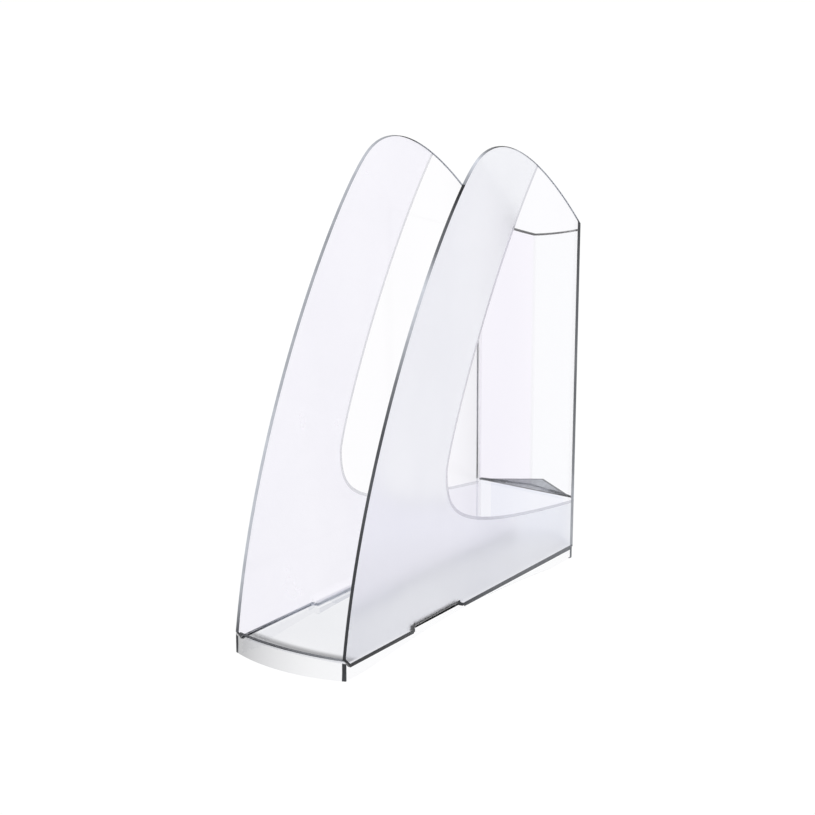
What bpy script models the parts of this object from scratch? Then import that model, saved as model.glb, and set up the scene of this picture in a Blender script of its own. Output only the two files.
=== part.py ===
"""A clear and frosted moulded magazine file holder, modelled in metres with +Z up.

The file stands on a shallow base tray. Two side walls clip onto the tray, a rear riser bridges
them at the back, and a folded spine panel stands on the riser. The front and the top are open.

+Y points from the open front to the spine and +X from the left wall to the right wall. The origin
lies on the ground, in the middle of the footprint.
"""

import math

import bmesh
import bpy
from mathutils import Vector

MM = 0.001

# Driving dimensions of the whole file.
DEPTH = 245 * MM  # from the front corners to the rear corners of the side walls
HALF_WIDTH = 38.0 * MM  # outer face of a wall at the front, at ground level
TOE_IN = 0.009  # a wall leans inward by this much per metre of depth
FLARE = 0.004  # a wall leans outward by this much per metre of height
WALL = 2.0 * MM  # thickness of every panel
GAP = 0.3 * MM  # clearance kept where two parts meet
EDGE = 0.35 * MM  # rounding of the moulded edges

# Base tray.
RAIL_TOP = 7.5 * MM  # the side walls stand on the rails at this height
RAIL_WIDTH = 4.3 * MM
FLOOR_TOP = 9.4 * MM
FLOOR_THICKNESS = 2.2 * MM
LIP_TOP = 12.0 * MM  # upper edge of the bowed lip across the open front
LIP_BOW_TOP = 4.5 * MM  # how far the lip stands forward of the front corners
LIP_BOW_BOTTOM = 7.5 * MM
LIP_FOOT = 2.2 * MM  # thickness of the lip below the floor
CORNER_POST = 4.0 * MM  # the lip's return along each side slopes down to the rail over this length
CORNER_TOP = 11.5 * MM  # height of that return at the front corner
ARCH_HEIGHT = 5.7 * MM  # clear height under the middle of each rail
ARCH_FRONT = 20 * MM  # the rail leaves the ground here
ARCH_REAR = 222 * MM
SLAB_FOLD = 15.0 * MM  # how far the tray's pointed rear edge stands behind the rails
SLAB_INSET = 3.3 * MM  # the pointed edge starts at this depth below the walls' outer faces

# Hook along the lower edge of each side wall.
HOOK_FRONT = 68.5 * MM
HOOK_REAR = 117.5 * MM
HOOK_RADIUS = 5.5 * MM  # outer radius of the curl, which is also how far it turns inward
HOOK_REACH = 5.9 * MM  # depth of the hook's toe from the wall's outer face
HOOK_RELIEF = 0.8 * MM  # slit at each end of the hook
PAD_REACH = 8.1 * MM  # the rail is this wide where the hook rests on it
PAD_END = 2.5 * MM  # how far the wide stretch runs past the hook

# Rear riser and spine.
REBATE_WIDTH = 2.4 * MM  # rebate down the rear inner edge of each side wall
REBATE_DEPTH = 0.8 * MM
CHORD = DEPTH - REBATE_WIDTH + GAP  # front of the riser and the spine at the walls
SPINE_FOLD = 8.2 * MM  # how far the spine's centre fold stands behind its edges
RISER_FOLD = 10.7 * MM  # the same for the riser's inner wall, just behind the spine's tabs
LEDGE_FOLD = 22.6 * MM  # the same for the riser's outer wall
LEDGE_TOP = 40.0 * MM
RISER_BOTTOM = 1.0 * MM
SPINE_EDGE_TOP = 210.5 * MM
SPINE_CENTRE_TOP = 202.6 * MM
TAB_INNER = 6 * MM  # the two tabs of the spine and of the riser span this much of each half
TAB_OUTER = 16 * MM
TAB_DEPTH = 2.2 * MM

SIDES = {"left": -1, "right": 1}
BIG = 0.4  # reach of a cutter past the part it cuts

FROSTED = (0.86, 0.87, 0.90, 1.0)
CLEAR = (0.95, 0.95, 0.97, 1.0)


def material(name, colour, roughness, transmission):
    """A plain plastic with one colour and one finish."""
    made = bpy.data.materials.new(name)
    made.use_nodes = True
    shader = made.node_tree.nodes["Principled BSDF"]
    shader.inputs["Base Color"].default_value = colour
    shader.inputs["Roughness"].default_value = roughness
    shader.inputs["Metallic"].default_value = 0.0
    shader.inputs["Transmission Weight"].default_value = transmission
    made.diffuse_color = colour
    return made


def bezier(start, pull_start, pull_end, end, steps):
    """Points along one cubic curve, without the last one."""
    points = []
    for step in range(steps):
        t = step / steps
        weights = ((1 - t) ** 3, 3 * t * (1 - t) ** 2, 3 * t * t * (1 - t), t ** 3)
        handles = (start, pull_start, pull_end, end)
        points.append(tuple(sum(w * h[axis] for w, h in zip(weights, handles)) for axis in (0, 1)))
    return points


def rear_half(inset):
    """Half the width at the rear corners, at this depth below the walls' outer faces."""
    return HALF_WIDTH - TOE_IN * DEPTH - inset


def fold_line(fold, x, half):
    """Y of a wall that is folded at the centre line, for a point at x."""
    return CHORD + fold * (1 - min(abs(x) / half, 1))


def wall_point(side, inset, y, z):
    """A point at a depth of inset below the outer face of a side wall."""
    return Vector((side * (HALF_WIDTH - TOE_IN * y + FLARE * z - inset), y, z))


def loft(first, last, low, high, place):
    """A closed solid between two outlines of equal length, with corners given by place(u, v, w)."""
    mesh = bmesh.new()
    ends = []
    for outline, w in ((first, low), (last, high)):
        ends.append([mesh.verts.new(place(u, v, w)) for u, v in outline])
        mesh.faces.new(ends[-1])
    for index in range(len(first)):
        after = (index + 1) % len(first)
        mesh.faces.new((ends[0][index], ends[0][after], ends[1][after], ends[1][index]))
    bmesh.ops.recalc_face_normals(mesh, faces=mesh.faces)
    return mesh


def prism(outline, low, high, place):
    """A closed solid over one outline."""
    return loft(outline, outline, low, high, place)


def upright(x, y, z):
    """Plan outline, extruded upward."""
    return Vector((x, y, z))


def sideways(y, z, x):
    """Side-view outline, extruded across the file."""
    return Vector((x, y, z))


def box_outline(low, high):
    return [(low[0], low[1]), (high[0], low[1]), (high[0], high[1]), (low[0], high[1])]


def add_object(name, mesh, parent, finish=None):
    """Turns a bmesh into an object; one with no finish is a hidden cutter."""
    data = bpy.data.meshes.new(name)
    mesh.to_mesh(data)
    mesh.free()
    made = bpy.data.objects.new(name, data)
    bpy.context.scene.collection.objects.link(made)
    made.parent = parent
    if finish is None:
        made.hide_render = True
        made.display_type = "WIRE"
    else:
        data.materials.append(finish)
    return made


def cut(target, name, mesh):
    """Subtracts a closed mesh from an object."""
    cutter = add_object(name, mesh, target.parent)
    modifier = target.modifiers.new(name, "BOOLEAN")
    modifier.operation = "DIFFERENCE"
    modifier.solver = "EXACT"
    modifier.object = cutter


def soften(target):
    """Rounds the sharp edges as a mould leaves them."""
    modifier = target.modifiers.new("rounded_edges", "BEVEL")
    modifier.width = EDGE
    modifier.segments = 2
    modifier.limit_method = "ANGLE"
    modifier.angle_limit = math.radians(40)
    modifier.harden_normals = False


def wall_outline():
    """Side view of a wall as (y, z), from the front of its foot round to the hook."""
    foot = RAIL_TOP + GAP
    post_top = LIP_TOP + GAP
    hook_top = foot + HOOK_RADIUS
    shoulder = (128.6 * MM, 267.6 * MM)
    rear_corner = (DEPTH, 213.8 * MM)
    front = bezier((-0.4 * MM, post_top), (18.6 * MM, 136 * MM), (100.4 * MM, 250.1 * MM), shoulder, 30)
    rear = bezier(shoulder, (166.4 * MM, 291 * MM), (227.5 * MM, 231.5 * MM), rear_corner, 30)
    return front + rear + [
        rear_corner,
        (DEPTH, foot),
        (HOOK_REAR + HOOK_RELIEF, foot),
        (HOOK_REAR + HOOK_RELIEF, hook_top),
        (HOOK_REAR, hook_top),
        (HOOK_FRONT, hook_top),
        (HOOK_FRONT - HOOK_RELIEF, hook_top),
        (HOOK_FRONT - HOOK_RELIEF, foot),
        (CORNER_POST + GAP, foot),
    ]


def hook_section():
    """Section of the hook as pairs of (inset, z): its outer skin and its inner skin."""
    centre = RAIL_TOP + GAP + HOOK_RADIUS
    steps = 6
    pairs = []
    for step in range(steps + 1):
        angle = math.pi / 2 * step / steps
        skins = []
        for radius in (HOOK_RADIUS, HOOK_RADIUS - WALL):
            skins.append((HOOK_RADIUS - radius * math.cos(angle), centre - radius * math.sin(angle)))
        pairs.append(skins)
    pairs.append([(HOOK_REACH, centre - HOOK_RADIUS), (HOOK_REACH, centre - HOOK_RADIUS + WALL)])
    return pairs


def side_wall_mesh(side):
    """A flat panel whose lower edge curls inward into a hook."""
    outline = wall_outline()
    mesh = bmesh.new()
    faces = []
    for inset in (0, WALL):
        faces.append([mesh.verts.new(wall_point(side, inset, y, z)) for y, z in outline])
    mesh.faces.new(faces[0])
    mesh.faces.new(faces[1])
    hook_start = outline.index((HOOK_REAR, RAIL_TOP + GAP + HOOK_RADIUS))
    for index in range(len(outline)):
        after = (index + 1) % len(outline)
        if index != hook_start:
            mesh.faces.new((faces[0][index], faces[0][after], faces[1][after], faces[1][index]))
    # The hook continues the panel from the edge that was left open.
    previous = [[faces[skin][hook_start + 1], faces[skin][hook_start]] for skin in (0, 1)]
    for skins in hook_section()[1:]:
        current = []
        for inset, z in skins:
            current.append([mesh.verts.new(wall_point(side, inset, y, z)) for y in (HOOK_FRONT, HOOK_REAR)])
        for skin in (0, 1):
            mesh.faces.new((previous[skin][0], previous[skin][1], current[skin][1], current[skin][0]))
        for end in (0, 1):
            mesh.faces.new((previous[0][end], previous[1][end], current[1][end], current[0][end]))
        previous = current
    mesh.faces.new((previous[0][0], previous[0][1], previous[1][1], previous[1][0]))
    bmesh.ops.recalc_face_normals(mesh, faces=mesh.faces)
    return mesh


def make_side_wall(name, side, parent, finish):
    wall = add_object(name, side_wall_mesh(side), parent, finish)
    rebate = prism(
        box_outline((DEPTH - REBATE_WIDTH, -BIG), (DEPTH + BIG, BIG)),
        WALL - REBATE_DEPTH,
        WALL + 1 * MM,
        lambda y, z, inset: wall_point(side, inset, y, z),
    )
    cut(wall, name + "_rebate", rebate)
    soften(wall)


def lip_line(bow, reach, steps=16):
    """The shallow arc of the lip, bowed toward -Y at the centre, from -reach to +reach."""
    radius = (HALF_WIDTH * HALF_WIDTH + bow * bow) / (2 * bow)
    points = []
    for step in range(steps + 1):
        x = reach * (2 * step / steps - 1)
        points.append((x, radius - bow - math.sqrt(radius * radius - x * x)))
    return points


def lip_bow(z):
    """Bow of the lip's raked front face at this height."""
    return LIP_BOW_BOTTOM + (LIP_BOW_TOP - LIP_BOW_BOTTOM) * z / LIP_TOP


def tray_mesh():
    """The tray before its hollows are cut: a slab with a bowed, raked front and a pointed rear."""
    outer = rear_half(0)
    inner = rear_half(SLAB_INSET)
    rear = [(outer, DEPTH), (inner, DEPTH), (0, DEPTH + SLAB_FOLD), (-inner, DEPTH), (-outer, DEPTH)]
    bottom = lip_line(lip_bow(0), HALF_WIDTH) + rear
    top = lip_line(lip_bow(LIP_TOP), HALF_WIDTH) + rear
    return loft(bottom, top, 0, LIP_TOP, upright)


def underside_outline(z):
    """Plan of the hollow under the floor, between the lip and the rails."""
    front = [(x, y + LIP_FOOT) for x, y in lip_line(lip_bow(z), HALF_WIDTH - RAIL_WIDTH)]
    edge = []
    for y, inset in (
        (HOOK_FRONT - PAD_END, RAIL_WIDTH),
        (HOOK_FRONT - PAD_END, PAD_REACH),
        (HOOK_REAR + PAD_END, PAD_REACH),
        (HOOK_REAR + PAD_END, RAIL_WIDTH),
        (DEPTH + BIG, RAIL_WIDTH),
    ):
        edge.append((HALF_WIDTH - TOE_IN * y - inset, y))
    return front + edge + [(-x, y) for x, y in reversed(edge)]


def seat_outline():
    """Side view of the room above a rail, with a sloping front end."""
    slope = CORNER_POST / (CORNER_TOP - RAIL_TOP)
    tip = (CORNER_POST - slope * (LIP_TOP + MM - RAIL_TOP), LIP_TOP + MM)
    return [(CORNER_POST, RAIL_TOP), (DEPTH + BIG, RAIL_TOP), (DEPTH + BIG, BIG), (tip[0], BIG), tip]


def rail_arch():
    """Side view of the opening under the rails: a shallow arch between the corner feet."""
    steps = 16
    arch = []
    for step in range(steps + 1):
        share = step / steps
        y = ARCH_FRONT + (ARCH_REAR - ARCH_FRONT) * share
        arch.append((y, ARCH_HEIGHT * math.sin(math.pi * share)))
    return [(ARCH_REAR, -BIG), (ARCH_FRONT, -BIG)] + arch


def slot_outline(fold, front, rear):
    """Plan of the slot for the tab at +X of a folded wall, from front to rear of the wall's line."""
    half = rear_half(WALL - REBATE_DEPTH + GAP)
    ends = (TAB_INNER - GAP, TAB_OUTER + GAP)
    return [
        (ends[0], fold_line(fold, ends[0], half) + front),
        (ends[1], fold_line(fold, ends[1], half) + front),
        (ends[1], fold_line(fold, ends[1], half) + rear),
        (ends[0], fold_line(fold, ends[0], half) + rear),
    ]


def mirrored(outline, side):
    return [(side * x, y) for x, y in outline]


def make_tray(parent, finish):
    tray = add_object("base_tray", tray_mesh(), parent, finish)
    for label, side in SIDES.items():
        # The wall stands in this step above the rail.
        seat = prism(
            seat_outline(),
            -BIG,
            WALL + GAP,
            lambda y, z, inset, side=side: Vector((side * (HALF_WIDTH - TOE_IN * y - inset), y, z)),
        )
        cut(tray, "tray_seat_" + label, seat)
        pocket = prism(
            box_outline((HOOK_FRONT - HOOK_RELIEF, RAIL_TOP - 0.5 * GAP), (HOOK_REAR + HOOK_RELIEF, BIG)),
            -BIG,
            HOOK_REACH + GAP,
            lambda y, z, inset, side=side: Vector((side * (HALF_WIDTH - TOE_IN * y - inset), y, z)),
        )
        cut(tray, "tray_hook_pocket_" + label, pocket)
        slot = prism(mirrored(slot_outline(RISER_FOLD, -GAP, WALL + GAP), side), -BIG, BIG, upright)
        cut(tray, "tray_slot_" + label, slot)
    inner_half = HALF_WIDTH - WALL - GAP
    floor = [(x, y + WALL) for x, y in lip_line(LIP_BOW_TOP, inner_half)]
    floor += [(inner_half, DEPTH + BIG), (-inner_half, DEPTH + BIG)]
    cut(tray, "tray_floor", prism(floor, FLOOR_TOP, BIG, upright))
    slab_bottom = FLOOR_TOP - FLOOR_THICKNESS
    hollow = loft(underside_outline(-slab_bottom), underside_outline(slab_bottom), -slab_bottom, slab_bottom, upright)
    cut(tray, "tray_underside", hollow)
    cut(tray, "tray_arch", prism(rail_arch(), -BIG, BIG, sideways))
    soften(tray)


def tray_clearance(low, high):
    """Plan of the room for the tray's pointed rear edge, between two values of x."""
    half = rear_half(SLAB_INSET) + GAP
    corners = [x for x in (half, 0, -half) if low < x < high]
    rear = [(x, DEPTH + GAP + SLAB_FOLD * max(1 - abs(x) / half, 0)) for x in [high] + corners + [low]]
    return [(low, -BIG), (high, -BIG)] + rear


def make_riser(parent, finish):
    """Hollow riser: a folded inner wall, a deeper folded outer wall and a ledge across both."""
    half = rear_half(WALL - REBATE_DEPTH + GAP)
    corner = CHORD + 2 * MM
    plan = [(-half, CHORD), (half, CHORD), (half, corner), (0, CHORD + LEDGE_FOLD + 2 * MM), (-half, corner)]
    riser = add_object("rear_riser", prism(plan, RISER_BOTTOM, LEDGE_TOP, upright), parent, finish)
    under_ledge = LEDGE_TOP - WALL
    apex = CHORD + RISER_FOLD
    front = [(-BIG, -BIG), (BIG, -BIG), (BIG, CHORD), (half, CHORD), (0, apex), (-half, CHORD), (-BIG, CHORD)]
    cut(riser, "riser_front", prism(front, -BIG, under_ledge, upright))
    # Plan of the cavity: behind the inner wall and in front of the outer wall.
    slope = math.hypot(LEDGE_FOLD, half) / half
    inner_rear = CHORD + WALL
    outer_front = corner - WALL * slope
    share = (inner_rear - outer_front) / (LEDGE_FOLD - RISER_FOLD)
    meet = (half * (1 - share), inner_rear + RISER_FOLD * share)
    cavity = [(0, inner_rear + RISER_FOLD), meet, (0, outer_front + LEDGE_FOLD), (-meet[0], meet[1])]
    cut(riser, "riser_cavity", prism(cavity, -BIG, under_ledge, upright))
    # Room for the rear edge of the tray, with two tabs left standing in its slots.
    tab_bottom = FLOOR_TOP + GAP - TAB_DEPTH
    cut(riser, "riser_below_tray", prism(tray_clearance(-BIG, BIG), -BIG, tab_bottom, upright))
    for label, low, high in (
        ("left", -BIG, -TAB_OUTER),
        ("middle", -TAB_INNER, TAB_INNER),
        ("right", TAB_OUTER, BIG),
    ):
        room = prism(tray_clearance(low, high), tab_bottom - MM, FLOOR_TOP + GAP, upright)
        cut(riser, "riser_beside_tab_" + label, room)
    for label, side in SIDES.items():
        slot = mirrored(slot_outline(SPINE_FOLD, -GAP, WALL + GAP), side)
        cut(riser, "riser_slot_" + label, prism(slot, under_ledge - 1.2 * MM, BIG, upright))
    soften(riser)


def spine_outline(half):
    """Front view of the spine as (x, z): two tabs below, and a top edge that dips to the centre."""
    foot = LEDGE_TOP + GAP
    tab_foot = foot - TAB_DEPTH
    lower = [(half, foot), (TAB_OUTER, foot), (TAB_OUTER, tab_foot), (TAB_INNER, tab_foot), (TAB_INNER, foot)]
    right_side = []
    steps = 8
    for step in range(steps + 1):
        share = step / steps
        rise = 0.73 * share + 0.27 * share * share
        right_side.append((half * share, SPINE_CENTRE_TOP + (SPINE_EDGE_TOP - SPINE_CENTRE_TOP) * rise))
    right_side += lower
    left_side = [(-x, z) for x, z in reversed(right_side)]
    return right_side + left_side[:-1]


def make_spine(parent, finish):
    half = rear_half(WALL - REBATE_DEPTH + GAP)
    mesh = prism(spine_outline(half), 0, WALL, lambda x, z, depth: Vector((x, depth, z)))
    everything = list(mesh.verts) + list(mesh.edges) + list(mesh.faces)
    bmesh.ops.bisect_plane(mesh, geom=everything, plane_co=(0, 0, 0), plane_no=(1, 0, 0), dist=1e-7)
    for vert in mesh.verts:
        vert.co.y += fold_line(SPINE_FOLD, vert.co.x, half)
    spine = add_object("spine_panel", mesh, parent, finish)
    soften(spine)


def build():
    for existing in list(bpy.data.objects):
        bpy.data.objects.remove(existing)
    holder = bpy.data.objects.new("magazine_file", None)
    bpy.context.scene.collection.objects.link(holder)
    apex = CHORD + LEDGE_FOLD + 2 * MM
    holder.location.y = -(apex - LIP_BOW_BOTTOM) / 2
    frosted = material("frosted_styrene", FROSTED, 0.45, 0.7)
    frosted_base = material("frosted_base_styrene", FROSTED, 0.45, 0.7)
    frosted_riser = material("frosted_riser_styrene", FROSTED, 0.4, 0.7)
    clear = material("clear_styrene", CLEAR, 0.05, 0.95)
    make_tray(holder, frosted_base)
    for label, side in SIDES.items():
        make_side_wall("side_wall_" + label, side, holder, frosted)
    make_riser(holder, frosted_riser)
    make_spine(holder, clear)
    bpy.context.view_layer.update()


build()
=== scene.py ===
"""Visual model of a clear and frosted moulded magazine file holder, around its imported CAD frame.

Every piece is built in the row frame, in metres. Lengths below are written in millimetres and in
the part's own frame, whose Y starts at the front corners of the side walls. The near wall is the
right one, at +X. A "level" is a display brightness of 0 to 255. Noise scales are per metre.
"""

import math

import bmesh
import bpy
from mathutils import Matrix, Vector
from mathutils.geometry import delaunay_2d_cdt


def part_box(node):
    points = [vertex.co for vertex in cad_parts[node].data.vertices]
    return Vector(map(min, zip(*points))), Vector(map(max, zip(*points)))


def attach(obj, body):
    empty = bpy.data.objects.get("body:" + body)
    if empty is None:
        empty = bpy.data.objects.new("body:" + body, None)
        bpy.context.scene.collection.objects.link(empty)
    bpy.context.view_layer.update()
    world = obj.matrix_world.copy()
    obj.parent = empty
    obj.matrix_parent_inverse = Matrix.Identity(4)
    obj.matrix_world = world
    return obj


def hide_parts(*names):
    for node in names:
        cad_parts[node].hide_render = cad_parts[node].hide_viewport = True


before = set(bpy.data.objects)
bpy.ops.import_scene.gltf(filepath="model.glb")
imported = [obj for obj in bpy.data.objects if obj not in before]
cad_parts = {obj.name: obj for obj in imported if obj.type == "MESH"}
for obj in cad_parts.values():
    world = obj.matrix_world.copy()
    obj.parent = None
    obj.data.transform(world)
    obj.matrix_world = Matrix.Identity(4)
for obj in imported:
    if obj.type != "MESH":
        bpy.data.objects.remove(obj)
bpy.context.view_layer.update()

MM = 0.001
FRONT_OVERHANG = 0.4  # the walls' feet stand this far forward of the part's Y = 0
ORIGIN_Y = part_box("side_wall_right")[0].y / MM + FRONT_OVERHANG

# Side walls. Each is a flat sheet of (y, z) points that leans out and closes in towards the rear.
DEPTH = 245.0
HALF_WIDTH = 38.0  # at the outer face of the front corner's foot
TOE_IN = 0.009
FLARE = 0.004
WALL = 2.0
FOOT = 7.8
POST_TOP = 12.3  # the foot slopes up to here over the tray's corner post
POST_LENGTH = 4.3
RIM_RADIUS = 0.45
RIM_ANGLES = (30, 60, 90)
EDGE_STEPS = 46
FRONT_CURVE = ((-0.4, 12.3), (19.0, 136.0), (100.8, 250.1), (128.6, 267.6))
REAR_CURVE = ((128.6, 267.6), (166.4, 290.6), (228.2, 232.2), (246.2, 214.0))
CROWN_Y = FRONT_CURVE[3][0]
REAR_EDGE, REAR_TOP = REAR_CURVE[3]
REAR_POINTS = (190, 160, 130, 100, 75, 55, 40, 30, 20, 12)  # heights down the rear edge
SHEET_FOOT = FOOT - 2 * RIM_RADIUS

# The foot's stretch that curls inward as a hook.
HOOK_RADIUS = 5.5
HOOK_REACH = 5.9  # how deep the curled foot reaches from the outer face
HOOK_RAMPS = ((67.5, 68.1), (114.6, 118.2))  # where the curled stretch starts and ends
HOOK_ROWS = 14
RAMP_ROWS = 8
BAND_TOP = FOOT + HOOK_RADIUS
TOE_SHARE = 0.85  # share of the foot's height that turns into the curl; the rest is its flat toe

# The groove between the frosted and the clear area of a wall.
BORDER_CURVES = (
    ((196.5, 259.5), (141.6, 198.9), (99.0, 105.4), (99.0, 93.2)),
    ((99.0, 93.2), (99.0, 64.6), (113.7, 52.8), (252.6, 36.4)),
)
BORDER_STEPS = 40
BORDER_HALF = 0.95
BORDER_DEPTH = 0.22
BEHIND_WALL = [(300, 36), (300, 300)]  # closes the clear area behind the wall's rear edge

# Painted shade: dark lines on the walls' skins.
OUTER_LINE = (1.3, 0.8)  # height of the line along the foot, at the front and at the rear
OUTER_LINE_HOOK = 4.6
INNER_LINE = (0.5, 0.6)  # where the line on the inner skin starts and ends, above the foot
INNER_LINE_HOOK = 0.7
ABOVE_FLOOR = 0.25  # that line also covers the seam with the tray's floor
REAR_STRIP = 242.5  # behind this the upright rear edge gathers shade
REAR_LINE = (240.4, 242.2)  # the seat that holds the spine shows as a dark line on the inner skin
SEAT_LOW = 41.0  # below this the seat is only a faint line
SEAT_TOP = REAR_TOP - 3
LINE_STATIONS = (-2, 0, 1, 2, 3, 4, POST_LENGTH, 5, 34, 60, 150, 200, 247)
PAST_POST = 5  # the lower edge of the inner line starts behind this
CUT_TOP = 230  # upright cuts through a sheet reach up to here
FOOT_RIM = 1.0  # the rim has the foot's finish up to this far above it
TOP_RIM = (CROWN_Y - 12, 100)  # and the top's finish behind and above these

# Tray.
FLOOR_TOP = 9.4
RAIL_TOP = 7.5
LIP_BOW = 4.5
LIP_CREST = 11.45  # the rounded top edge of the lip starts here
LIP_CREST_BACK = 3.0
LIP_FACE_BACK = 1.0
POST_INNER = 36.0
POST_DEPTH = 0.8
POST_LOW = 0.3
POST_HIGH = 10.3
REAR_FOOT_START = 242.6
REAR_FOOT_WIDTH = 1.6
RAIL_LINE = (6.8, 5.7)  # lower edge of the dark line on the rails, at the front and at the rear
RAIL_LINE_WIDTH = 0.8
POCKET = (HOOK_RAMPS[0][0] - 1, HOOK_RAMPS[1][1] + 1)  # the tray's pockets for the curled feet
POCKET_INNER = (27, 28)  # x where the far and the near pocket start
POCKET_FLOOR = (5, 7)  # z above which they take another finish
PAD_SHADE = 34.4  # inside this the pad under the near hook gathers shade
LOW_EDGE = (0.6, 7.2)  # heights of the small faces round the underside and along the rails
LIP_SHADE = (
    (0.0, 0.30),
    (0.095, 0.34),
    (0.24, 0.49),
    (0.43, 0.66),
    (0.62, 0.79),
    (0.81, 0.88),
    (1.0, 0.95),
)  # (share of the width, factor)
FLOOR_SHADE = (
    (-4.0, 1.0),
    (0.0, 0.75),
    (2.0, 0.4),
    (3.4, 0.18),
    (5.0, 0.2),
    (7.0, 0.42),
    (8.8, 0.8),
    (10.4, 0.92),
)  # the floor curves up behind the lip and gathers shade: (distance behind the lip, factor)
FLOOR_SHADE_SPAN = (-4, 12)

# Rear riser and spine, folded to a point at the rear.
CHORD = 242.9  # y of their inner faces at the walls
REAR_HALF = 34.3
RISER_HALF = 33.70  # half widths between the walls' inner faces, at z = 0
SPINE_HALF = 33.75
LEDGE_TOP = 40.0
LEDGE_SKIN = 39.0
LEDGE_FOLD = 22.6
LEDGE_BORDER = 2.1  # width of the ledge's dark border along its point
LEDGE_FRONT = 244.6  # the ledge is dark in front of this
SPINE_FOLD = 8.2
SPINE_CENTRE = 202.6
SPINE_RISE = 7.9  # how far its top edge climbs to the walls
SPINE_SAG = 0.27  # share of that climb that follows a parabola
SPINE_STEPS = 12
SPINE_FOOT = LEDGE_TOP + 0.3
SPINE_STRIP = 1.1  # height of the dark line along the spine's top edge
TAB_X = (6, 16)
TAB_DEPTH = 2.2
TAB_SHADE = 39.2  # the tabs gather shade down to here
FOOT_SHADE = 0.8  # and the rim does so up to this far above the ledge
CREASE_HALF = 0.7
SPINE_CUTS = (30, 35)  # how low upright cuts start, and how far to the sides level ones reach

# Studio.
CAMERA_PLACE = (0.69505, -1.02422, 0.46262)
CAMERA_DIP = 15.524  # degrees below the horizon
CAMERA_TURN = 34.574
CAMERA_LENS = 97.05
LIGHT_AIM = (0, 0, 0.12)
LIGHTS = (
    ("key", (-0.9, -1.3, 1.6), 1.2, 3.0),
    ("fill", (1.6, -0.4, 0.9), 1.0, 1.5),
    ("back", (-0.5, 1.5, 1.3), 1.0, 1.5),
)  # name, place, size and power
LIGHT_BOUNCES = 28  # a look through the object crosses more than ten skins
STAGE_DROP = 0.2

# Painted shade: the cool cast of the shade painted on the moulded edges.
RIM_SHADE_CAST = (0.93, 0.97, 1.06)  # the cool cast of a dark edge
NO_CAST = (1.0, 1.0, 1.0)
GRIME = (0.03, 0.035, 0.045)

# Painted shade and painted highlights on the moulded edges, by material name: axis, the two ends
# of the gradient, then (place, level) pairs.
EDGE_SHADING = {
    "near_wall_front_rim": (
        "Z",
        (0, 273),
        ((12, 56), (43, 64), (74, 68), (103, 88), (131, 84), (158, 122), (182, 188), (204, 214))
        + ((223, 108), (240, 90), (253, 36), (263, 90)),
    ),
    "near_wall_top_rim": (
        "Y",
        (110, 245),
        ((115, 150), (128, 226), (139, 126), (149, 20), (161, 40), (172, 188), (184, 178))
        + ((200, 210), (245, 208)),
    ),
    "near_wall_rear_rim": (
        "Z",
        (0, 273),
        ((0, 165), (43, 160), (60, 128), (76, 116), (93, 104), (110, 96), (130, 110), (144, 96))
        + ((178, 82), (195, 70), (213, 62)),
    ),
    "far_wall_front_rim": (
        "Z",
        (0, 273),
        ((11, 66), (26, 150), (43, 190), (74, 194), (103, 202), (131, 197), (158, 177), (182, 180))
        + ((204, 174), (223, 164), (240, 182), (262, 192)),
    ),
    "far_wall_top_rim": (
        "Y",
        (110, 245),
        ((128, 194), (148, 150), (161, 40), (172, 80), (184, 190), (196, 200), (206, 222))
        + ((245, 224),),
    ),
    "far_wall_rear_rim": (
        "Z",
        (0, 273),
        ((38, 150), (44, 70), (60, 105), (76, 140), (93, 145), (110, 130), (128, 112)),
    ),
    "foot_line": (
        "Y",
        (0, 245),
        ((0, 50), (60, 58), (90, 40), (112, 50), (126, 84), (187, 104), (245, 112)),
    ),
    "far_foot_line": (
        "Y",
        (0, 120),
        ((0, 92), (14, 140), (24, 165), (33, 190), (43, 212), (52, 228), (120, 224)),
    ),
    "lip_edge": ("X", (-38, 38), ((-38, 66), (-3.8, 84), (19, 112), (38, 140))),
    "corner_post": ("Z", (0, 12), ((0, 70), (6, 56), (12, 60))),
    "rear_foot": ("Z", (0, 273), ((0, 120), (12, 96))),
    "ledge_edge": ("X", (-34, 34), ((-34, 140), (-10, 136), (0, 108), (34, 104))),
    "ledge_top": (
        "X",
        (-34, 34),
        ((-34, 130), (-14, 150), (-4, 178), (8, 192), (20, 165), (34, 120)),
    ),
    "spine_top_edge": ("X", (-34, 34), ((-34, 120), (0, 95), (20.4, 120), (34, 160))),
}


# ---------------------------------------------------------------- materials


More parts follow.
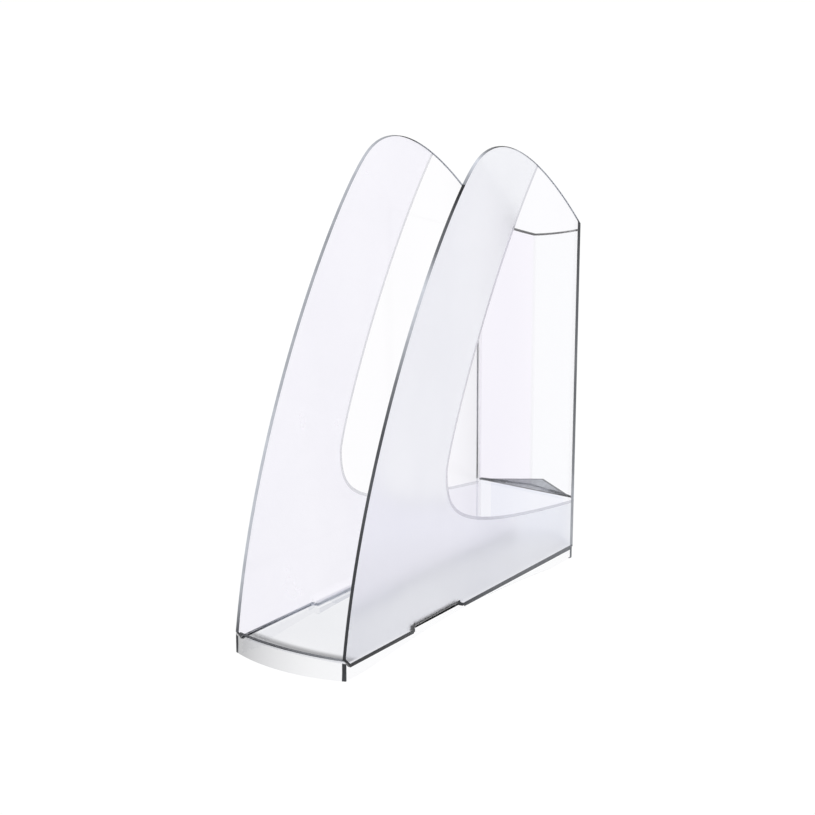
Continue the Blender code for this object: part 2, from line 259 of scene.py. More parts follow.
class Nodes:
    """A short way of writing one material's node tree."""

    def __init__(self, name):
        self.material = bpy.data.materials.new(name)
        self.material.use_nodes = True
        self.tree = self.material.node_tree
        self.shader = self.tree.nodes["Principled BSDF"]
        self.place = self.add("ShaderNodeTexCoord").outputs["Object"]

    def add(self, kind, **values):
        node = self.tree.nodes.new(kind)
        for key, value in values.items():
            setattr(node, key, value)
        return node

    def link(self, source, target):
        self.tree.links.new(source, target)

    def feed(self, name, source):
        self.link(source, self.shader.inputs[name])

    def stretched(self, scale):
        """The object coordinates, scaled along each axis."""
        mapping = self.add("ShaderNodeMapping")
        mapping.inputs["Scale"].default_value = scale
        self.link(self.place, mapping.inputs["Vector"])
        return mapping.outputs["Vector"]

    def noise(self, scale, detail=2.0, rough=0.5, place=None):
        node = self.add("ShaderNodeTexNoise")
        node.inputs["Scale"].default_value = scale
        node.inputs["Detail"].default_value = detail
        node.inputs["Roughness"].default_value = rough
        self.link(self.place if place is None else place, node.inputs["Vector"])
        return node.outputs["Fac"]

    def span(self, source, low, high, to_low, to_high, smooth=False):
        """Maps a value from one range to another, clamped."""
        node = self.add("ShaderNodeMapRange")
        if smooth:
            node.interpolation_type = "SMOOTHSTEP"
        ends = {"From Min": low, "From Max": high, "To Min": to_low, "To Max": to_high}
        for name, value in ends.items():
            node.inputs[name].default_value = value
        self.link(source, node.inputs["Value"])
        return node.outputs["Result"]

    def math(self, operation, first, second):
        node = self.add("ShaderNodeMath", operation=operation)
        for socket, value in zip(node.inputs, (first, second)):
            if isinstance(value, (int, float)):
                socket.default_value = value
            else:
                self.link(value, socket)
        return node.outputs["Value"]

    def mix(self, factor, first, second, blend="MIX"):
        """Mixes two colours; the factor and the colours may be values or sockets."""
        node = self.add("ShaderNodeMix", data_type="RGBA", blend_type=blend)
        if isinstance(factor, float):
            node.inputs["Factor"].default_value = factor
        else:
            self.link(factor, node.inputs["Factor"])
        for socket, value in ((node.inputs[6], first), (node.inputs[7], second)):
            if isinstance(value, tuple):
                socket.default_value = (*value, 1.0)
            else:
                self.link(value, socket)
        return node.outputs[2]

    def ramp(self, source, stops):
        node = self.add("ShaderNodeValToRGB")
        points = node.color_ramp.elements
        while len(points) < len(stops):
            points.new(0.5)
        for point, (position, colour) in zip(points, stops):
            point.position = position
            point.color = (*colour, 1.0)
        self.link(source, node.inputs["Fac"])
        return node.outputs["Color"]

    def axis(self, name):
        node = self.add("ShaderNodeSeparateXYZ")
        self.link(self.place, node.inputs["Vector"])
        return node.outputs[name]

    def along(self, axis, low, high):
        """0 to 1 between two places along an axis, in part millimetres."""
        shift = ORIGIN_Y if axis == "Y" else 0
        return self.span(self.axis(axis), (low + shift) * MM, (high + shift) * MM, 0, 1)

    def bumps(self, *layers):
        """Chains bump nodes from (height, strength, distance in mm) and feeds the normal."""
        previous = None
        for height, strength, distance in layers:
            node = self.add("ShaderNodeBump")
            node.inputs["Strength"].default_value = strength
            node.inputs["Distance"].default_value = distance * MM
            self.link(height, node.inputs["Height"])
            if previous is not None:
                self.link(previous, node.inputs["Normal"])
            previous = node.outputs["Normal"]
        self.feed("Normal", previous)

    def scratches(self):
        """Thin wandering scuffs in two directions, as a height from 0 to 1."""
        first = self.noise(1.0, 3.0, 0.6, self.stretched((2200, 90, 60)))
        second = self.noise(1.0, 3.0, 0.6, self.stretched((70, 2400, 2400)))
        first = self.span(first, 0.64, 0.72, 0, 1)
        second = self.span(second, 0.66, 0.74, 0, 1)
        return self.math("MAXIMUM", first, second)

    def darken(self, colour):
        """Multiplies the base colour by a colour socket."""
        before = self.shader.inputs["Base Color"].links[0].from_socket
        self.feed("Base Color", self.mix(1.0, before, colour, "MULTIPLY"))

    def darken_along(self, axis, low, high, factors):
        """Multiplies the base colour along an axis by (share, factor) pairs."""
        stops = [(share, (factor,) * 3) for share, factor in factors]
        self.darken(self.ramp(self.along(axis, low, high), stops))

    def finish(self, transmission, ior):
        self.shader.inputs["Transmission Weight"].default_value = transmission
        self.shader.inputs["IOR"].default_value = ior
        return self


def shade(level, cast):
    """A linear colour from a display level and a cast."""
    value = ((level / 255 + 0.055) / 1.055) ** 2.4
    return tuple(min(value * part, 1.0) for part in cast)


def clear_plastic(name, dark, light, left_facet_shade=None, ior=1.2):
    """Glossy styrene: faint flow marks in its tint, hairline scuffs, nearly no haze."""
    nodes = Nodes(name)
    flow = nodes.noise(9.0, 2.0, 0.5, nodes.stretched((1.0, 1.0, 0.35)))
    colour = nodes.mix(nodes.span(flow, 0.35, 0.65, 0, 1, True), dark, light)
    # Painted shade: a left facet can take another tint, for how light falls on it.
    if left_facet_shade is not None:
        is_left = nodes.span(nodes.axis("X"), -1 * MM, 1 * MM, 1, 0)
        colour = nodes.mix(is_left, colour, left_facet_shade)
    nodes.feed("Base Color", colour)
    scuffs = nodes.math("MULTIPLY", nodes.scratches(), 0.03)
    haze = nodes.span(nodes.noise(35.0, 4.0), 0.3, 0.7, 0.015, 0.045)
    nodes.feed("Roughness", nodes.math("ADD", haze, scuffs))
    nodes.bumps((nodes.noise(22.0, 1.0), 0.06, 0.5))
    return nodes.finish(1.0, ior)


def frosted_plastic(name, dark, light, roughness, ior=1.25):
    """Etched styrene: a fine grain, cloudy patches and a roughness that drifts a little."""
    nodes = Nodes(name)
    cloud = nodes.noise(14.0, 3.0, 0.55, nodes.stretched((1.0, 1.0, 0.6)))
    speck = nodes.noise(900.0, 2.0, 0.6)
    colour = nodes.mix(nodes.span(cloud, 0.32, 0.68, 0, 1, True), dark, light)
    colour = nodes.mix(nodes.span(speck, 0.45, 0.75, 0, 0.12), colour, dark)
    nodes.feed("Base Color", colour)
    patches = nodes.noise(40.0, 3.0)
    nodes.feed("Roughness", nodes.span(patches, 0.3, 0.7, roughness - 0.03, roughness + 0.03))
    grain = (nodes.noise(1400.0, 2.0, 0.6), 0.18, 0.05)
    ripple = (nodes.noise(260.0, 2.0), 0.08, 0.1)
    nodes.bumps(grain, ripple)
    return nodes.finish(1.0, ior)


def painted_shade_rim(name, cast=RIM_SHADE_CAST, roughness=0.24):
    """The polished moulded edge of a panel, with painted shade: dark, with painted highlights in
    lighter stretches.
    """
    axis, (low, high), levels = EDGE_SHADING[name]
    nodes = Nodes(name)
    stops = [((place - low) / (high - low), shade(level, cast)) for place, level in levels]
    colour = nodes.ramp(nodes.along(axis, low, high), stops)
    grime = nodes.span(nodes.noise(120.0, 3.0), 0.35, 0.75, 0, 0.18)
    nodes.feed("Base Color", nodes.mix(grime, colour, GRIME))
    uneven = nodes.noise(260.0, 3.0)
    nodes.feed("Roughness", nodes.span(uneven, 0.3, 0.7, roughness - 0.06, roughness + 0.08))
    nodes.bumps((nodes.noise(450.0, 2.0), 0.10, 0.05))
    return nodes.finish(0.0, 1.22).material


def shade_towards_floor(nodes):
    """The near wall darkens where the floor lies behind it, below a line that falls rearward."""
    rearward = nodes.math("SUBTRACT", nodes.axis("Y"), ORIGIN_Y * MM)
    height = nodes.math("ADD", nodes.math("MULTIPLY", rearward, 0.265), nodes.axis("Z"))
    above = nodes.span(height, 62 * MM, 90 * MM, 0, 1, True)
    nodes.darken(nodes.mix(above, (0.915, 0.912, 0.905), (1.0, 1.0, 1.0)))


def shade_behind_lip(nodes):
    """Darkens the floor along the bowed lip."""
    low, high = FLOOR_SHADE_SPAN
    across = nodes.math("DIVIDE", nodes.axis("X"), HALF_WIDTH * MM)
    bow = nodes.math("MULTIPLY", nodes.math("MULTIPLY", across, across), LIP_BOW)
    lip = nodes.math("ADD", bow, ORIGIN_Y)
    behind = nodes.math("SUBTRACT", nodes.math("DIVIDE", nodes.axis("Y"), MM), lip)
    stops = [((place - low) / (high - low), (factor,) * 3) for place, factor in FLOOR_SHADE]
    nodes.darken(nodes.ramp(nodes.span(behind, low, high, 0, 1), stops))


# ---------------------------------------------------------------- curves and sheets


def bezier(handles, steps):
    """Points along one cubic curve, without the last one."""
    points = []
    for step in range(steps):
        t = step / steps
        weights = ((1 - t) ** 3, 3 * t * (1 - t) ** 2, 3 * t * t * (1 - t), t ** 3)
        points.append(tuple(sum(w * h[axis] for w, h in zip(weights, handles)) for axis in (0, 1)))
    return points


def shifted(points, distance, closed=True):
    """The points of a polyline, moved to its left by a distance."""
    moved = []
    count = len(points)
    for index, point in enumerate(points):
        before = points[index - 1] if closed or index else point
        after = points[(index + 1) % count] if closed or index < count - 1 else point
        along = [Vector(point) - Vector(before), Vector(after) - Vector(point)]
        sides = [Vector((-d.y, d.x)).normalized() for d in along if d.length > 1e-6]
        mean = sum(sides, Vector((0, 0))).normalized()
        stretch = 1 / max(mean.dot(sides[0]), 0.5)
        moved.append(tuple(Vector(point) + mean * distance * stretch))
    return moved


def blend(ends, share):
    """A value between two ends, for a share clamped to 0 to 1."""
    return ends[0] + (ends[1] - ends[0]) * min(max(share, 0), 1)


def smooth_step(low, high, value):
    share = min(max((value - low) / (high - low), 0), 1)
    return share * share * (3 - 2 * share)


def distance_to(line, point):
    best = math.inf
    for a, b in zip(line, line[1:]):
        a, b, p = Vector(a), Vector(b), Vector(point)
        share = min(max((p - a).dot(b - a) / (b - a).length_squared, 0), 1)
        best = min(best, (a + (b - a) * share - p).length)
    return best


def inside(polygon, point):
    """Whether a point lies in a polygon, by counting crossings of a ray along its first axis."""
    found = False
    for a, b in zip(polygon, polygon[1:] + polygon[:1]):
        if (a[1] > point[1]) != (b[1] > point[1]):
            if point[0] < a[0] + (point[1] - a[1]) / (b[1] - a[1]) * (b[0] - a[0]):
                found = not found
    return found


def triangulated(loop, lines):
    """A closed outline as triangles that respect every line: (points, corners, boundary)."""
    points, edges = [], []
    for line in [loop + loop[:1]] + lines:
        start = len(points)
        points.extend(Vector(p) for p in line)
        edges.extend((start + k, start + k + 1) for k in range(len(line) - 1))
    made = delaunay_2d_cdt(points, edges, [list(range(len(loop)))], 1, 1e-4)
    flat = [tuple(v) for v in made[0]]
    triangles = made[2]
    used = {(a, b) for corners in triangles for a, b in zip(corners, corners[1:] + corners[:1])}
    ring = {a: b for a, b in used if (b, a) not in used}
    boundary = [min(ring)]
    while ring[boundary[-1]] != boundary[0]:
        boundary.append(ring[boundary[-1]])
    return flat, triangles, boundary


def rim_profile(thickness):
    """Cross-section of a rounded rim, from the outer skin round to the inner: (reach, inset)."""
    angles = [math.radians(angle) for angle in RIM_ANGLES]
    outer = [(math.sin(angle), RIM_RADIUS * (1 - math.cos(angle))) for angle in angles]
    return outer + [(reach, thickness - inset) for reach, inset in reversed(outer)]


def shell(sheet, place, thickness, skin_slot, rim_slot, order, groove=None, smooth=()):
    """A sheet as a closed shell: two skins and a rounded rim. place(u, v, inset) is a corner."""
    flat, triangles, boundary = sheet
    mesh = bmesh.new()

    def face(corners, slot, is_smooth):
        made = mesh.faces.new(corners)
        made.material_index = order.index(slot)
        made.smooth = is_smooth

    skins = {}
    for skin, inset in (("outer", 0.0), ("inner", thickness)):
        verts = []
        for point in flat:
            depth = groove(point) if groove and skin == "outer" else 0.0
            verts.append(mesh.verts.new(place(point[0], point[1], inset + depth)))
        skins[skin] = verts
        for corners in triangles:
            u, v = (sum(flat[c][axis] for c in corners) / 3 for axis in (0, 1))
            slot = skin_slot(skin, u, v)
            face([verts[c] for c in corners], slot, slot in smooth)
    inner_ring = [flat[k] for k in boundary]
    outer_ring = shifted(inner_ring, -RIM_RADIUS)
    rings = [[skins["outer"][k] for k in boundary]]
    for reach, inset in rim_profile(thickness):
        moved = [Vector(a).lerp(Vector(b), reach) for a, b in zip(inner_ring, outer_ring)]
        rings.append([mesh.verts.new(place(p[0], p[1], inset)) for p in moved])
    rings.append([skins["inner"][k] for k in boundary])
    for first, second in zip(rings, rings[1:]):
        for k in range(len(boundary)):
            after = (k + 1) % len(boundary)
            u, v = ((inner_ring[k][axis] + inner_ring[after][axis]) / 2 for axis in (0, 1))
            face((first[k], first[after], second[after], second[k]), rim_slot(u, v), True)
    return mesh


def add_piece(name, mesh, materials, replaced):
    """Makes the piece from a bmesh, rides it on the frame and hides its CAD node."""
    loose = [vert for vert in mesh.verts if not vert.link_faces]
    bmesh.ops.delete(mesh, geom=loose, context="VERTS")
    bmesh.ops.recalc_face_normals(mesh, faces=mesh.faces)
    data = bpy.data.meshes.new(name)
    mesh.to_mesh(data)
    mesh.free()
    for material in materials:
        data.materials.append(material)
    piece = bpy.data.objects.new(name, data)
    bpy.context.scene.collection.objects.link(piece)
    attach(piece, "root")
    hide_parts(replaced)


# ---------------------------------------------------------------- side walls


def curl_weight(y):
    """1 where the foot is curled inward, 0 where it is straight."""
    (a, b), (c, d) = HOOK_RAMPS
    return smooth_step(a, b, y) * (1 - smooth_step(c, d, y))


def wall_place(side, y, z, inset):
    """Row-frame point of a wall, given on its unrolled sheet; the foot curls where the hook is."""
    weight = curl_weight(y) if z < BAND_TOP else 0
    if weight:
        unrolled = (BAND_TOP - z) / HOOK_RADIUS
        angle = min(unrolled / TOE_SHARE, 1) * math.pi / 2
        toe = max(unrolled - TOE_SHARE, 0) / (1 - TOE_SHARE) * (HOOK_REACH - HOOK_RADIUS)
        radius = HOOK_RADIUS - inset
        curled_inset = HOOK_RADIUS - radius * math.cos(angle) + toe
        curled_z = BAND_TOP - radius * math.sin(angle)
        inset += (curled_inset - inset) * weight
        z += (curled_z - z) * weight
    x = side * (HALF_WIDTH - TOE_IN * y + FLARE * z - inset)
    return Vector((x, y + ORIGIN_Y, z)) * MM


def foot_edge(y):
    """Height of the lower edge: it slopes up over the tray's front corner."""
    slope = (POST_TOP - FOOT) / (POST_LENGTH + FRONT_OVERHANG)
    return max(FOOT, POST_TOP - (y + FRONT_OVERHANG) * slope)


def ramp_columns():
    """Y of the lines along which the foot bends into the hook."""
    return [a + (b - a) * k / RAMP_ROWS for a, b in HOOK_RAMPS for k in range(RAMP_ROWS + 1)]


def outer_line_top(y):
    """Top of the dark line along the foot, on the outer skin."""
    plain = foot_edge(y) + blend(OUTER_LINE, y / DEPTH)
    return plain + (FOOT + OUTER_LINE_HOOK - plain) * curl_weight(y)


def inner_line_top(y):
    """The same on the inner skin, where the floor meets the wall."""
    plain = max(FLOOR_TOP + ABOVE_FLOOR, foot_edge(y) + INNER_LINE[1])
    return plain + (FOOT + INNER_LINE_HOOK - plain) * curl_weight(y)


def inner_line_low(y):
    """Its lower edge."""
    return foot_edge(y) + INNER_LINE[0] * (1 - curl_weight(y))


def wall_outline():
    """The edge of a wall's sheet: up the front, over the top, down the rear, along the foot."""
    loop = bezier(FRONT_CURVE, EDGE_STEPS) + bezier(REAR_CURVE, EDGE_STEPS) + [REAR_CURVE[3]]
    loop += [(REAR_EDGE, z) for z in REAR_POINTS]
    foot = [REAR_EDGE, 200, 160, *reversed(ramp_columns()), 34, POST_LENGTH]
    return loop + [(y, SHEET_FOOT) for y in foot]


def wall_sheet(border):
    """A wall's sheet, cut along every line where its shape or its finish changes."""
    stations = sorted([*LINE_STATIONS, *ramp_columns()])
    straight = [y for y in stations if not curl_weight(y) and y > PAST_POST]
    lines = [shifted(border, offset, closed=False) for offset in (-BORDER_HALF, 0.0, BORDER_HALF)]
    lines.append([(y, outer_line_top(y)) for y in stations])
    lines.append([(y, inner_line_top(y)) for y in stations])
    lines.append([(y, inner_line_low(y)) for y in straight])
    low, high = HOOK_RAMPS[0][0], HOOK_RAMPS[1][1]
    for row in range(HOOK_ROWS + 1):
        z = FOOT + HOOK_RADIUS * row / HOOK_ROWS
        lines.append([(low, z), (high, z)])
    lines += [[(y, SHEET_FOOT), (y, BAND_TOP)] for y in ramp_columns()]
    lines += [[(y, SHEET_FOOT), (y, CUT_TOP)] for y in (*REAR_LINE, REAR_STRIP)]
    lines += [[(y, SEAT_LOW) for y in REAR_LINE]]
    return triangulated(shifted(wall_outline(), -RIM_RADIUS), lines)


def wall_skin_slot(border, side, skin, y, z):
    """Which finish a spot of a wall's skin has."""
    if skin == "inner":
        if side < 0 and REAR_LINE[0] < y < REAR_LINE[1] and z < SEAT_TOP:
            return "rear" if z > SEAT_LOW else "line"
        return "inner_foot" if inner_line_low(y) < z < inner_line_top(y) else "clear"
    if z < outer_line_top(y):
        return "foot" if side > 0 else "frost"
    if side > 0 and y > REAR_STRIP and z < REAR_TOP + 1:
        return "rear"
    if distance_to(border, (y, z)) < BORDER_HALF - 0.01:
        return "line"
    return "clear" if inside(border + BEHIND_WALL, (y, z)) else "frost"


def wall_rim_slot(side, y, z):
    """Which finish a spot of a wall's rim has."""
    if y > DEPTH - 1 and z < REAR_TOP - 1:
        return "rear" if side > 0 else "clear"
    if z < foot_edge(y) + FOOT_RIM:
        return "foot"
    return "top" if y > TOP_RIM[0] and z > TOP_RIM[1] else "front"


def near_finishes(foot_line):
    # Painted shade: the near wall's frost and clear are darker, blue-grey copies of the far
    # wall's, for how light falls on this side.
    frost = frosted_plastic(
        "near_wall_frosted", (0.80, 0.815, 0.868), (0.845, 0.86, 0.91), 0.34, ior=1.4
    )
    shade_towards_floor(frost)
    clear = clear_plastic("near_wall_clear", (0.93, 0.928, 0.96), (0.96, 0.957, 0.98)).material
    # Painted shade in the groove between frost and clear.
    line = frosted_plastic("near_wall_border", (0.46, 0.46, 0.52), (0.52, 0.52, 0.57), 0.24)
    return {
        "frost": frost.material,
        "clear": clear,
        "line": line.material,
        "front": painted_shade_rim("near_wall_front_rim"),
        "top": painted_shade_rim("near_wall_top_rim"),
        "rear": painted_shade_rim("near_wall_rear_rim"),
        "foot": foot_line,
        "inner_foot": clear,
    }


def far_finishes():
    # Painted light: the far wall's frost and clear are lighter, lavender copies of the near
    # wall's, for how light falls on this side.
    frost = frosted_plastic(
        "far_wall_frosted", (0.87, 0.855, 0.95), (0.905, 0.89, 0.98), 0.30, ior=1.2
    )
    clear = clear_plastic("far_wall_clear", (0.965, 0.96, 0.975), (0.985, 0.98, 0.99), ior=1.12)
    # Painted shade: the far wall's clear area darkens towards its rear edge.
    clear.darken_along("Y", 200, DEPTH, ((0.0, 1.0), (0.4, 0.985), (0.8, 0.93)))
    # Painted shade in the groove between frost and clear.
    line = frosted_plastic("far_wall_border", (0.50, 0.50, 0.56), (0.56, 0.56, 0.61), 0.24)
    # Painted shade: the dark line along the far wall's foot.
    foot_line = painted_shade_rim("far_foot_line")
    return {
        "frost": frost.material,
        "clear": clear.material,
        "line": line.material,
        "front": painted_shade_rim("far_wall_front_rim"),
        "top": painted_shade_rim("far_wall_top_rim"),
        "rear": painted_shade_rim("far_wall_rear_rim"),
        "foot": foot_line,
        "inner_foot": foot_line,
    }


def make_walls(foot_line):
    border = [*bezier(BORDER_CURVES[0], BORDER_STEPS), *bezier(BORDER_CURVES[1], BORDER_STEPS)]
    border.append(BORDER_CURVES[1][3])
    sheet = wall_sheet(border)
    walls = (
        ("side_wall_right", 1, near_finishes(foot_line)),
        ("side_wall_left", -1, far_finishes()),
    )
    for node, side, finishes in walls:
        mesh = shell(
            sheet,
            lambda y, z, inset: wall_place(side, y, z, inset),
            WALL,
            lambda skin, y, z: wall_skin_slot(border, side, skin, y, z),
            lambda y, z: wall_rim_slot(side, y, z),
            list(finishes),
            groove=lambda point: BORDER_DEPTH if distance_to(border, point) < 0.01 else 0.0,
            smooth=("line", "foot", "inner_foot"),
        )
        add_piece(node + "_shell", mesh, finishes.values(), node)


# ---------------------------------------------------------------- tray


def copied_node(node):
    """The CAD node's surface as a new welded mesh."""
    mesh = bmesh.new()
    mesh.from_mesh(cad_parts[node].data)
    flat = math.radians(0.3)
    bmesh.ops.remove_doubles(mesh, verts=mesh.verts, dist=0.002 * MM)
    bmesh.ops.dissolve_limit(mesh, angle_limit=flat, verts=mesh.verts, edges=mesh.edges)
    return mesh


def slice_mesh(mesh, planes):
    """Cuts the faces along (point, normal) planes, so that finishes can change there."""
    for (x, y, z), normal in planes:
        place = Vector((x, y + ORIGIN_Y, z)) * MM
        everything = list(mesh.verts) + list(mesh.edges) + list(mesh.faces)
        bmesh.ops.bisect_plane(
            mesh, geom=everything, plane_co=place, plane_no=normal, dist=1e-7
        )


def paint(mesh, order, choose):
    """Gives each face the finish that choose(x, y, z, normal, small) names."""
    for face in mesh.faces:
        spot = face.calc_center_median() / MM
        shortest = min(edge.calc_length() for edge in face.edges)
        small = shortest < 0.6 * MM and face.calc_area() < 30 * MM * MM
        slot = choose(spot.x, spot.y - ORIGIN_Y, spot.z, face.normal, small)
        face.material_index = order.index(slot)
        face.smooth = small


def tray_slot(x, y, z, normal, small):
    """Which finish a face of the tray has."""
    reach = HALF_WIDTH - TOE_IN * y
    hooked = POCKET[0] < y < POCKET[1]
    rail_line_low = RAIL_LINE[0] + (RAIL_LINE[1] - RAIL_LINE[0]) * y / DEPTH
    if abs(x) > POST_INNER and y < POST_DEPTH and POST_LOW < z < POST_HIGH:
        return "post"
    if y < LIP_CREST_BACK and z > LIP_CREST:
        return "lip_edge"
    if normal.z > 0.9 and abs(z - FLOOR_TOP) < 0.1:
        return "floor"
    if y < LIP_FACE_BACK and normal.y < -0.5:
        return "lip_face"
    if y > REAR_FOOT_START and abs(x) > reach - REAR_FOOT_WIDTH and z < RAIL_TOP + 0.2:
        return "rear_foot"
    on_rail = abs(x) > reach - RAIL_LINE_WIDTH and y > POST_LENGTH
    if on_rail and z > rail_line_low and not hooked:
        return "rail_line"
    if hooked and x < -POCKET_INNER[0] and z > POCKET_FLOOR[0]:
        return "floor"
    if hooked and POCKET_INNER[1] < x < PAD_SHADE and z > POCKET_FLOOR[1] and normal.z > 0.7:
        return "rail_line"
    if small and (z < LOW_EDGE[0] or (z < LOW_EDGE[1] and abs(x) > reach - 1.0)):
        return "low_edge"
    return "clear"


def tray_finishes(foot_line):
    floor = frosted_plastic(
        "tray_floor_frosted", (0.82, 0.83, 0.87), (0.855, 0.865, 0.90), 0.22, ior=1.02
    )
    shade_behind_lip(floor)
    clear = frosted_plastic(
        "tray_satin", (0.95, 0.95, 0.96), (0.975, 0.975, 0.98), 0.12, ior=1.02
    )
    lip_face = frosted_plastic(
        "lip_face", (0.93, 0.935, 0.96), (0.96, 0.965, 0.985), 0.22, ior=1.02
    )
    lip_face.darken_along("X", -HALF_WIDTH, HALF_WIDTH, LIP_SHADE)
    low_edge = frosted_plastic(
        "tray_low_edge", (0.93, 0.93, 0.945), (0.96, 0.96, 0.97), 0.2, ior=1.02
    )
    # Painted shade: the lip's crest, the corner posts, the rear feet and the lines along the rails
    # are dark edge finishes.
    return {
        "clear": clear.material,
        "floor": floor.material,
        "lip_face": lip_face.material,
        "lip_edge": painted_shade_rim("lip_edge"),
        "post": painted_shade_rim("corner_post"),
        "rear_foot": painted_shade_rim("rear_foot"),
        "rail_line": foot_line,
        "low_edge": low_edge.material,
    }


def make_tray(foot_line):
    finishes = tray_finishes(foot_line)
    mesh = copied_node("base_tray")
    rail_slope = (RAIL_LINE[0] - RAIL_LINE[1]) / DEPTH
    planes = [((x, 0, 0), (1, 0, 0)) for x in (POST_INNER, -POST_INNER, PAD_SHADE)]
    rows = (POST_DEPTH, POST_LENGTH, REAR_FOOT_START, *POCKET)
    planes += [((0, y, 0), (0, 1, 0)) for y in rows]
    planes.append(((0, 0, RAIL_LINE[0]), (0, rail_slope, 1)))
    planes += [((0, 0, z), (0, 0, 1)) for z in (POST_HIGH, LIP_CREST)]
    slice_mesh(mesh, planes)
    paint(mesh, list(finishes), tray_slot)
    add_piece("base_tray_shell", mesh, finishes.values(), "base_tray")


# ---------------------------------------------------------------- riser and spine


def fold(depth, x):
    """Y of a folded rear panel's inner face: it is furthest back at the centre."""
    return CHORD + depth * (1 - min(abs(x) / REAR_HALF, 1))


def riser_slot(x, y, z, normal, small):
    """Which finish a face of the riser has."""
    rim = fold(LEDGE_FOLD, x) + WALL
    if z > LEDGE_SKIN and normal.z > 0.7:
        return "dark" if y > rim - LEDGE_BORDER or y < LEDGE_FRONT else "ledge"
    return "dark" if z > LEDGE_SKIN and y > rim - 1.0 else "clear"


def make_riser(ledge_top):
    clear = clear_plastic("riser_clear", (0.945, 0.95, 0.975), (0.965, 0.97, 0.985), ior=1.02)
    # Painted shade: the ledge's top is grey, and its border along the point and its front are
    # dark.
    finishes = {"clear": clear.material, "dark": painted_shade_rim("ledge_edge"), "ledge": ledge_top}
    mesh = copied_node("rear_riser")
    slope = LEDGE_FOLD / REAR_HALF
    rim = (0, CHORD + LEDGE_FOLD + WALL - LEDGE_BORDER, 0)
    planes = [((0, LEDGE_FRONT, 0), (0, 1, 0)), ((0, 0, LEDGE_SKIN), (0, 0, 1))]
    planes += [(rim, (slope, 1, 0)), (rim, (-slope, 1, 0))]
    slice_mesh(mesh, planes)
    paint(mesh, list(finishes), riser_slot)
    for vert in mesh.verts:  # drawn in to the walls' inner faces
        vert.co.x *= (RISER_HALF + FLARE * vert.co.z / MM) / REAR_HALF
    add_piece("rear_riser_shell", mesh, finishes.values(), "rear_riser")


def spine_top(x):
    share = abs(x) / REAR_HALF
    return SPINE_CENTRE + SPINE_RISE * ((1 - SPINE_SAG) * share + SPINE_SAG * share * share)


def spine_loop():
    """Front view of the spine as (x, z): two tabs below and a top edge that dips to the centre."""
    tab = SPINE_FOOT - TAB_DEPTH
    lower = [(REAR_HALF, SPINE_FOOT), (TAB_X[1], SPINE_FOOT), (TAB_X[1], tab)]
    lower += [(TAB_X[0], tab), (TAB_X[0], SPINE_FOOT)]
    stations = [REAR_HALF * k / SPINE_STEPS for k in range(SPINE_STEPS + 1)]
    half = [(x, spine_top(x)) for x in stations] + lower
    return half + [(-x, z) for x, z in reversed(half)][:-1]


def spine_sheet():
    """The spine's sheet, cut along its fold and every line where its finish changes."""
    low, side = SPINE_CUTS
    lines = [[(x, low), (x, CUT_TOP)] for x in (-CREASE_HALF, 0.0, CREASE_HALF)]
    lines += [[(-side, z), (side, z)] for z in (TAB_SHADE, SPINE_FOOT)]
    stations = [REAR_HALF * k / SPINE_STEPS for k in range(-SPINE_STEPS, SPINE_STEPS + 1)]
    lines.append([(x, spine_top(x) - SPINE_STRIP) for x in stations])
    return triangulated(shifted(spine_loop(), -RIM_RADIUS), lines)


def spine_place(x, z, inset):
    width = (SPINE_HALF + FLARE * z) / REAR_HALF
    return Vector((x * width, fold(SPINE_FOLD, x) + inset + ORIGIN_Y, z)) * MM


def spine_skin_slot(skin, x, z):
    """Which finish a spot of the spine's skin has."""
    if z > spine_top(x) - SPINE_STRIP and skin == "outer":
        return "top"
    if z < SPINE_FOOT:
        return "ledge" if z > TAB_SHADE else "clear"
    return "crease" if abs(x) < CREASE_HALF else "clear"


def spine_rim_slot(x, z):
    """Which finish a spot of the spine's rim has."""
    if z > spine_top(x) - SPINE_STRIP:
        return "top"
    return "ledge" if TAB_SHADE < z < LEDGE_TOP + FOOT_SHADE else "clear"


def make_spine(ledge_top):
    # Painted shade: the third tint is the left facet's, the crease is darker along the fold, a
    # dark line runs along the top edge and the tabs take the ledge's grey.
    tints = ((0.975, 0.985, 0.985), (0.985, 0.99, 0.99), (0.965, 0.945, 0.985))
    clear = clear_plastic("spine_clear", *tints, ior=1.1)
    crease = clear_plastic("spine_crease", (0.90, 0.90, 0.91), (0.93, 0.93, 0.94), ior=1.1)
    finishes = {
        "clear": clear.material,
        "top": painted_shade_rim("spine_top_edge", NO_CAST),
        "crease": crease.material,
        "ledge": ledge_top,
    }
    slots = (spine_skin_slot, spine_rim_slot, list(finishes))
    mesh = shell(spine_sheet(), spine_place, WALL, *slots)
    add_piece("spine_panel_shell", mesh, finishes.values(), "spine_panel")


# ---------------------------------------------------------------- floor, light and camera


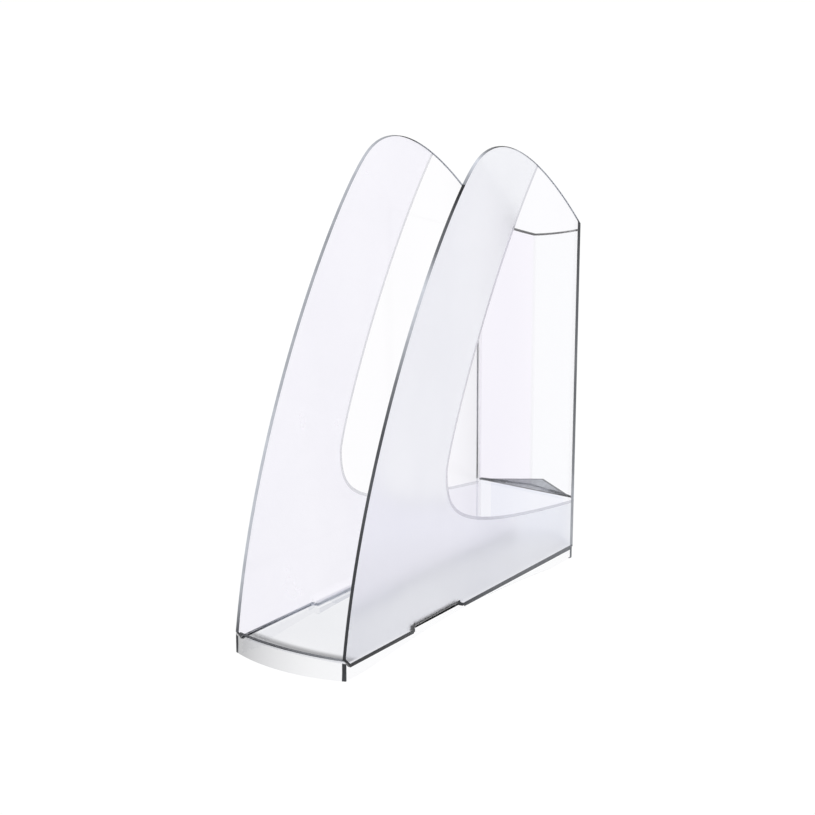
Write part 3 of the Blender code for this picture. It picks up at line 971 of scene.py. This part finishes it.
def make_stage():
    mesh = bmesh.new()
    bmesh.ops.create_grid(mesh, x_segments=1, y_segments=1, size=4.0)
    data = bpy.data.meshes.new("floor")
    mesh.to_mesh(data)
    mesh.free()
    floor = bpy.data.objects.new("floor", data)
    floor.location.z = -STAGE_DROP * MM
    material = bpy.data.materials.new("pale_floor")
    material.use_nodes = True
    shader = material.node_tree.nodes["Principled BSDF"]
    shader.inputs["Base Color"].default_value = (0.02, 0.02, 0.02, 1.0)
    shader.inputs["Roughness"].default_value = 1.0
    shader.inputs["Specular IOR Level"].default_value = 0.0
    shader.inputs["Emission Color"].default_value = (1.0, 1.0, 1.0, 1.0)
    shader.inputs["Emission Strength"].default_value = 1.0
    data.materials.append(material)
    bpy.context.scene.collection.objects.link(floor)


def make_light(name, place, size, power):
    data = bpy.data.lights.new(name, "AREA")
    data.shape = "DISK"
    data.size = size
    data.energy = power
    light = bpy.data.objects.new(name, data)
    light.location = place
    aim = Vector(LIGHT_AIM) - Vector(place)
    light.rotation_euler = aim.to_track_quat("-Z", "Y").to_euler()
    bpy.context.scene.collection.objects.link(light)


def make_camera():
    data = bpy.data.cameras.new("camera")
    data.lens = CAMERA_LENS
    data.sensor_width = 36.0
    camera = bpy.data.objects.new("camera", data)
    camera.location = CAMERA_PLACE
    camera.rotation_euler = (math.radians(90 - CAMERA_DIP), 0, math.radians(CAMERA_TURN))
    bpy.context.scene.collection.objects.link(camera)
    bpy.context.scene.camera = camera


def make_world():
    scene = bpy.context.scene
    world = bpy.data.worlds.new("studio")
    world.use_nodes = True
    background = world.node_tree.nodes["Background"]
    background.inputs["Color"].default_value = (1.0, 1.0, 1.0, 1.0)
    background.inputs["Strength"].default_value = 1.0
    scene.world = world
    scene.view_settings.view_transform = "Standard"
    scene.view_settings.look = "None"
    scene.cycles.max_bounces = LIGHT_BOUNCES
    scene.cycles.transmission_bounces = LIGHT_BOUNCES
    scene.cycles.glossy_bounces = 8
    scene.cycles.transparent_max_bounces = 16
    scene.cycles.caustics_refractive = True
    scene.cycles.caustics_reflective = True


# Painted shade: the dark line along the near wall's foot and the tray's rails, and the grey of the
# ledge's top.
near_foot_line = painted_shade_rim("foot_line")
ledge_grey = painted_shade_rim("ledge_top")
make_walls(near_foot_line)
make_tray(near_foot_line)
make_riser(ledge_grey)
make_spine(ledge_grey)

make_stage()
make_world()
for light_row in LIGHTS:
    make_light(*light_row)
make_camera()
